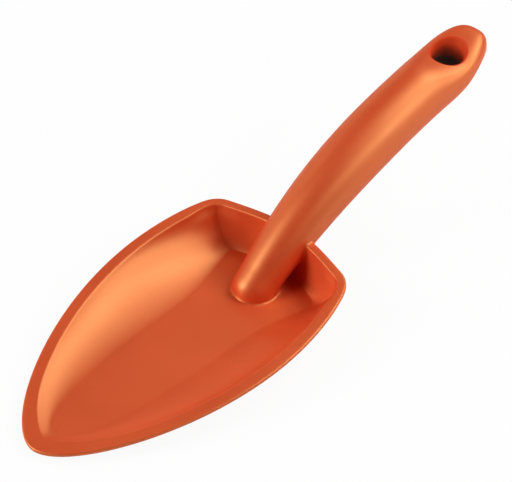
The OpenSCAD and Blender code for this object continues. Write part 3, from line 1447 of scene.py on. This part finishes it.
@dataclass(frozen=True)
class MouldGrain:
    """Fine grain of the mould, slow waviness of a moulded wall, and clouds and flecks of tone."""

    cloud_scale: float = 38.0
    cloud_range: tuple[float, float] = (0.3, 0.7)
    fleck_scale: float = 1500.0
    fleck_range: tuple[float, float] = (0.62, 0.74)

    def group(self) -> Tree:
        """Makes the node group.

        Returns:
            The group's tree.
        """
        nodes, given, out = new_group(
            "MouldGrain",
            {"Place": ("NodeSocketVector", 0), "Grain Scale": ("NodeSocketFloat", 4200.0),
             "Wave Scale": ("NodeSocketFloat", 60.0), "Wave Share": ("NodeSocketFloat", 0.5)},
            {"Height": "NodeSocketFloat", "Cloud": "NodeSocketFloat", "Fleck": "NodeSocketFloat"},
        )
        place = given.outputs["Place"]
        fine, slow = given.outputs["Grain Scale"], given.outputs["Wave Scale"]
        grain = nodes.add(NOISE, Vector=place, Scale=fine, Detail=3.0, Roughness=0.6)
        wave = nodes.add(NOISE, Vector=place, Scale=slow, Detail=1.0)
        cloud = nodes.add(NOISE, Vector=place, Scale=self.cloud_scale, Detail=4.0, Roughness=0.55)
        fleck = nodes.add(NOISE, Vector=place, Scale=self.fleck_scale, Detail=2.0)
        waves = nodes.math("MULTIPLY", wave.outputs["Fac"], given.outputs["Wave Share"])
        nodes.feed(out.inputs["Height"], nodes.math("ADD", grain.outputs["Fac"], waves))
        nodes.feed(out.inputs["Cloud"], nodes.remap(cloud.outputs["Fac"], *self.cloud_range))
        nodes.feed(out.inputs["Fleck"], nodes.remap(fleck.outputs["Fac"], *self.fleck_range))
        return nodes.tree


@dataclass(frozen=True)
class Handling:
    """Marks of handling: hair scratches along the tool, and edges rubbed smoother and lighter."""

    hair_scale: Triple = (60.0, 1500.0, 1500.0)
    hair_turn: float = math.radians(14)
    hair_range: tuple[float, float] = (0.66, 0.74)
    zone_scale: float = 55.0
    zone_range: tuple[float, float] = (0.5, 0.68)
    ridge_range: tuple[float, float] = (0.52, 0.6)
    patch_range: tuple[float, float] = (0.3, 0.6)
    patch_least: float = 0.35

    def group(self) -> Tree:
        """Makes the node group.

        Returns:
            The group's tree.
        """
        nodes, given, out = new_group(
            "Handling",
            {"Place": ("NodeSocketVector", 0), "Scratch Amount": ("NodeSocketFloat", 0.5),
             "Edge Amount": ("NodeSocketFloat", 0.5)},
            {"Scratch": "NodeSocketFloat", "Edge": "NodeSocketFloat"},
        )
        place = given.outputs["Place"]
        stretch = nodes.add("ShaderNodeMapping", Vector=place, Scale=self.hair_scale)
        stretch.inputs["Rotation"].default_value = (0.0, 0.0, self.hair_turn)
        hair = nodes.add(NOISE, Vector=stretch.outputs["Vector"], Scale=1.0, Detail=2.0)
        where = nodes.add(NOISE, Vector=place, Scale=self.zone_scale, Detail=2.0)
        lines = nodes.remap(hair.outputs["Fac"], *self.hair_range)
        zone = nodes.remap(where.outputs["Fac"], *self.zone_range)
        marks = nodes.math("MULTIPLY", lines, zone)
        marks = nodes.math("MULTIPLY", marks, given.outputs["Scratch Amount"])
        nodes.feed(out.inputs["Scratch"], marks)
        shape = nodes.add("ShaderNodeNewGeometry")
        ridge = nodes.remap(shape.outputs["Pointiness"], *self.ridge_range)
        rub = nodes.math("MULTIPLY", ridge, given.outputs["Edge Amount"])
        patches = nodes.remap(where.outputs["Fac"], *self.patch_range, self.patch_least, 1.0)
        nodes.feed(out.inputs["Edge"], nodes.math("MULTIPLY", rub, patches))
        return nodes.tree


@dataclass(frozen=True)
class MouldedPlastic:
    """A satin, through-coloured moulded plastic."""

    name: str
    colour: Triple
    deep: Triple
    worn: Triple
    roughness: float = 0.45
    grain_scale: float = 4200.0
    wave_scale: float = 60.0
    wave_share: float = 0.6
    bump: float = 0.06
    bump_distance: float = 0.00004
    scratch: float = 0.3
    edge: float = 0.35
    fleck: float = 0.25
    rough_spread: float = 0.02
    scratch_rough: float = 0.08
    scratch_depth: float = 0.8
    edge_polish: float = 0.08
    specular: float = 0.93
    ior: float = 2.15
    sheen: Triple = (1.0, 0.52, 0.19)

    def material(self, grain: Tree, handling: Tree) -> Material:
        """Makes the material.

        Args:
            grain: The mould grain group.
            handling: The handling group.

        Returns:
            The finished material.
        """
        made, nodes = new_material(self.name)
        place = nodes.add("ShaderNodeTexCoord").outputs["Object"]
        texture = nodes.add(
            "ShaderNodeGroup", node_tree=grain, Place=place, Grain_Scale=self.grain_scale,
            Wave_Scale=self.wave_scale, Wave_Share=self.wave_share,
        )
        marks = nodes.add(
            "ShaderNodeGroup", node_tree=handling, Place=place, Scratch_Amount=self.scratch,
            Edge_Amount=self.edge,
        )
        cloud = texture.outputs["Cloud"]
        scratch, edge = marks.outputs["Scratch"], marks.outputs["Edge"]
        flecks = nodes.math("MULTIPLY", texture.outputs["Fleck"], self.fleck)
        tone = self.blend(nodes, cloud, self.deep, self.colour)
        tone = self.blend(nodes, flecks, tone, self.worn)
        tone = self.blend(nodes, edge, tone, self.worn)
        # painted shade where the material has it: only the bore lining darkens with depth
        tone = self.with_painted_shade(nodes, place, tone)
        low, high = self.roughness - self.rough_spread, self.roughness + self.rough_spread
        rough = nodes.remap(cloud, 0.0, 1.0, low, high)
        rough = nodes.math("ADD", rough, nodes.math("MULTIPLY", scratch, self.scratch_rough))
        rough = nodes.math("SUBTRACT", rough, nodes.math("MULTIPLY", edge, self.edge_polish))
        grooves = nodes.math("MULTIPLY", scratch, self.scratch_depth)
        height = nodes.math("SUBTRACT", texture.outputs["Height"], grooves)
        bump = nodes.add("ShaderNodeBump", Strength=self.bump, Distance=self.bump_distance, Height=height)
        shader = nodes.add(
            "ShaderNodeBsdfPrincipled", Base_Color=tone, Roughness=rough, Normal=bump.outputs["Normal"],
            Specular_IOR_Level=self.specular, IOR=self.ior, Specular_Tint=(*self.sheen, 1.0),
        )
        nodes.add("ShaderNodeOutputMaterial", Surface=shader.outputs["BSDF"])
        return made

    def with_painted_shade(self, nodes: Nodes, place: Socket, tone: Socket) -> Socket:
        """The tone as it is, because a plain moulding carries no painted shade."""
        return tone

    @staticmethod
    def blend(nodes: Nodes, share: Socket, a: object, b: object) -> Socket:
        """A colour blend from a to b, each a colour or a link.

        Args:
            nodes: The tree that the node goes into.
            share: Share of b.
            a: First colour.
            b: Second colour.

        Returns:
            The blended colour as a link.
        """
        node = nodes.tree.nodes.new("ShaderNodeMix")
        node.data_type = "RGBA"
        nodes.tree.links.new(share, node.inputs[0])
        for socket, value in ((node.inputs[6], a), (node.inputs[7], b)):
            nodes.feed(socket, value if isinstance(value, Socket) else (*value, 1.0))
        return node.outputs[2]


@dataclass(frozen=True)
class ShadedBorePlastic(MouldedPlastic):
    """The plastic that lines the hanging hole, darkened towards the bottom with painted shade for the
    shadow deep in the bore.
    """

    # painted shade: the near-black colour that the bore wall darkens to with depth
    painted_shade: Triple = (0.020, 0.003, 0.001)
    middle: Triple = (0.0, 0.0, 0.0)
    axis: Triple = (0.0, 0.0, 1.0)
    bore: float = 0.0072
    shade_from: float = 0.007
    dark_at: float = -0.001
    inside: float = 0.0001
    outside: float = 0.0005

    def with_painted_shade(self, nodes: Nodes, place: Socket, tone: Socket) -> Socket:
        """The tone darkened by depth along the hole: painted shade standing in for the shadow inside the
        bore.

        Args:
            nodes: The tree that the nodes go into.
            place: Place on the piece.
            tone: The colour without the stain.

        Returns:
            The colour with its painted shade, as a link.
        """
        offset = nodes.vector("SUBTRACT", place, self.middle).outputs["Vector"]
        height = nodes.vector("DOT_PRODUCT", offset, self.axis).outputs["Value"]
        around = nodes.vector("CROSS_PRODUCT", offset, self.axis).outputs["Vector"]
        reach = nodes.vector("LENGTH", around).outputs["Value"]
        # painted shade: darker deeper down the bore, on the bore wall only
        deep = nodes.remap(height, self.shade_from, self.dark_at)
        within = nodes.remap(reach, self.bore + self.inside, self.bore + self.outside, 1.0, 0.0)
        return self.blend(nodes, nodes.math("MULTIPLY", deep, within), tone, self.painted_shade)


# Stage


@dataclass(frozen=True)
class Softbox:
    """A square studio lamp, placed by its turn round the tool and its height, both in degrees."""

    name: str
    turn: float
    height: float
    watts: float
    reach: float = 1.2
    size: float = 0.45
    aim: Triple = (0.0, 0.0, 0.02)

    def build(self) -> None:
        """Hangs the lamp in its place."""
        data = bpy.data.lights.new(self.name, "AREA")
        data.shape = "RECTANGLE"
        data.size = data.size_y = self.size
        data.energy = self.watts
        turn, height = math.radians(self.turn), math.radians(self.height)
        level = math.cos(height)
        away = Vector((level * math.cos(turn), level * math.sin(turn), math.sin(height)))
        lamp = bpy.data.objects.new(self.name, data)
        lamp.location = Vector(self.aim) + self.reach * away
        lamp.rotation_euler = (-away).to_track_quat("-Z", "Y").to_euler()
        bpy.context.scene.collection.objects.link(lamp)


@dataclass(frozen=True)
class View:
    """The camera at the photograph's place, for a frame of 512 by 482."""

    place: Triple = (-0.670746, -0.567451, 0.823059)
    right: Triple = (0.67563163, -0.73620421, 0.0390547)
    up: Triple = (0.47543497, 0.47558036, 0.74012493)
    back: Triple = (-0.56345673, -0.48148384, 0.67133436)
    focal_pixels: float = 2750.0
    wide_pixels: float = 512.0
    sensor: float = 36.0
    clip: tuple[float, float] = (0.05, 20.0)

    def build(self) -> None:
        """Puts the camera in its place and makes it the scene's camera."""
        data = bpy.data.cameras.new("camera")
        data.sensor_fit = "HORIZONTAL"
        data.sensor_width = self.sensor
        data.lens = self.focal_pixels / self.wide_pixels * self.sensor
        data.clip_start, data.clip_end = self.clip
        camera = bpy.data.objects.new("camera", data)
        turn = Matrix((self.right, self.up, self.back)).transposed().to_4x4()
        camera.matrix_world = Matrix.Translation(self.place) @ turn
        bpy.context.scene.collection.objects.link(camera)
        bpy.context.scene.camera = camera


LAMPS = (
    Softbox("tip_left_low", 150, 12, 6.10),
    Softbox("handle_right_high", 330, 54, 4.98),
    Softbox("tip_left_mid", 150, 35, 4.40),
    Softbox("right_handle_mid", 300, 35, 4.27),
    Softbox("handle_mid", 0, 35, 2.19),
    Softbox("handle_high", 0, 60, 1.34),
    Softbox("left_tip_low", 120, 12, 1.03),
    Softbox("right_handle_low", 300, 12, 0.98),
    Softbox("right_mid", 270, 35, 0.85),
    Softbox("left_mid", 90, 35, 0.71),
    Softbox("left_handle_low", 60, 12, 0.61),
    Softbox("left_low", 90, 12, 0.50),
    Softbox("handle_left_mid", 30, 35, 0.40),
    Softbox("tip_left_high", 150, 60, 0.36),
)


@dataclass
class Studio:
    """The pale floor, the white surroundings, the soft lamps and the camera."""

    floor_size: float = 6.0
    floor_drop: float = 0.0002
    floor_colour: Triple = (0.86, 0.86, 0.86)
    floor_glow: float = 0.94
    lamps: tuple[Softbox, ...] = LAMPS
    view: View = View()

    def build(self) -> None:
        """Sets the whole stage."""
        self.build_floor()
        self.build_surroundings()
        for lamp in self.lamps:
            lamp.build()
        self.view.build()
        bpy.context.scene.view_settings.view_transform = "Standard"

    def build_floor(self) -> None:
        """A wide pale floor that reads white to the camera and keeps the tool's shadow."""
        half = self.floor_size / 2
        mesh = bpy.data.meshes.new("studio_floor")
        corners = [(-half, -half, 0), (half, -half, 0), (half, half, 0), (-half, half, 0)]
        mesh.from_pydata(corners, [], [(0, 1, 2, 3)])
        floor = bpy.data.objects.new("studio_floor", mesh)
        floor.location.z = -self.floor_drop
        bpy.context.scene.collection.objects.link(floor)
        made, nodes = new_material("studio_floor")
        matt = nodes.add("ShaderNodeBsdfDiffuse", Color=(*self.floor_colour, 1.0)).outputs[0]
        glow = nodes.add("ShaderNodeEmission", Color=WHITE, Strength=1.0).outputs[0]
        clear = nodes.add("ShaderNodeBsdfTransparent").outputs[0]
        ray = nodes.add("ShaderNodeLightPath").outputs["Is Camera Ray"]
        lit = self.mix_shaders(nodes, nodes.math("MULTIPLY", ray, self.floor_glow), matt, glow)
        behind = nodes.add("ShaderNodeNewGeometry").outputs["Backfacing"]
        seen = self.mix_shaders(nodes, nodes.math("MULTIPLY", ray, behind), lit, clear)
        nodes.add("ShaderNodeOutputMaterial", Surface=seen)
        mesh.materials.append(made)

    @staticmethod
    def mix_shaders(nodes: Nodes, share: Socket, a: Socket, b: Socket) -> Socket:
        """A blend of two shaders.

        Args:
            nodes: The tree that the node goes into.
            share: Share of b.
            a: First shader.
            b: Second shader.

        Returns:
            The blended shader as a link.
        """
        node = nodes.tree.nodes.new("ShaderNodeMixShader")
        for socket, value in zip(node.inputs, (share, a, b)):
            nodes.feed(socket, value)
        return node.outputs[0]

    def build_surroundings(self) -> None:
        """White surroundings for the camera alone, which give no light."""
        world = bpy.data.worlds.new("studio")
        bpy.context.scene.world = world
        world.use_nodes = True
        nodes = Nodes(world.node_tree)
        world.node_tree.nodes.clear()
        ray = nodes.add("ShaderNodeLightPath").outputs["Is Camera Ray"]
        back = nodes.add("ShaderNodeBackground", Color=WHITE, Strength=ray)
        nodes.add("ShaderNodeOutputWorld", Surface=back.outputs["Background"])


TERRACOTTA = MouldedPlastic(
    name="terracotta_plastic",
    colour=(0.690, 0.060, 0.0155),
    deep=(0.650, 0.055, 0.014),
    worn=(0.730, 0.088, 0.027),
)
TERRACOTTA_GRIP = replace(TERRACOTTA, name="terracotta_grip", scratch=0.15)
# lining of the hanging hole, with painted shade darkening it towards the bottom of the bore
TERRACOTTA_BORE_SHADE = ShadedBorePlastic(
    name="terracotta_bore_painted_shade",
    colour=TERRACOTTA.colour,
    deep=TERRACOTTA.deep,
    worn=TERRACOTTA.worn,
    roughness=0.5,
    scratch=0.0,
    specular=0.25,
    ior=1.5,
)
NATURAL = MouldedPlastic(
    name="natural_dowel",
    colour=(0.60, 0.58, 0.52),
    deep=(0.54, 0.52, 0.46),
    worn=(0.66, 0.64, 0.58),
    roughness=0.5,
    scratch=0.0,
    specular=0.5,
    ior=1.5,
    sheen=(1.0, 1.0, 1.0),
)


def main() -> None:
    """Builds the trowel piece by piece, and the stage round it."""
    logging.basicConfig(level=logging.INFO, format="%(name)s: %(message)s")
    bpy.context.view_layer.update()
    grain, handling = MouldGrain().group(), Handling().group()
    blade_finish = TERRACOTTA.material(grain, handling)
    grip_finish = TERRACOTTA_GRIP.material(grain, handling)
    pin_finish = NATURAL.material(grain, handling)
    form = HandleForm()
    blade = Blade("scoop_and_neck", "blade", Slot.BLADE, form)
    upper = HandleShell("grip_top", "handle_upper_shell", Slot.HANDLE, form, Half.UPPER)
    lower = HandleShell("grip_bottom", "handle_lower_shell", Slot.HANDLE, form, Half.LOWER)
    hole = HangHole("hole_sleeve", "hang_sleeve", Slot.HANDLE, form)
    pins = TangPins("dowels", "tang_pins", Slot.PIN, form)
    axis = tuple(hole.up.tolist())
    # the bore lining's painted shade follows the hole's axis, dark deep down the bore
    shaded_lining = replace(TERRACOTTA_BORE_SHADE, middle=hole.frame_middle(), axis=axis, bore=hole.bore * MM)
    bore_shade_finish = shaded_lining.material(grain, handling)
    blade.dress(blade.build(), blade_finish)
    upper.dress(upper.build(hole), grip_finish)
    lower.dress(lower.build(hole), grip_finish)
    hole.dress(hole.build(upper.outer(), lower.outer()), bore_shade_finish)
    pins.dress(pins.build(), pin_finish)
    Studio().build()


if __name__ == "__main__":
    main()
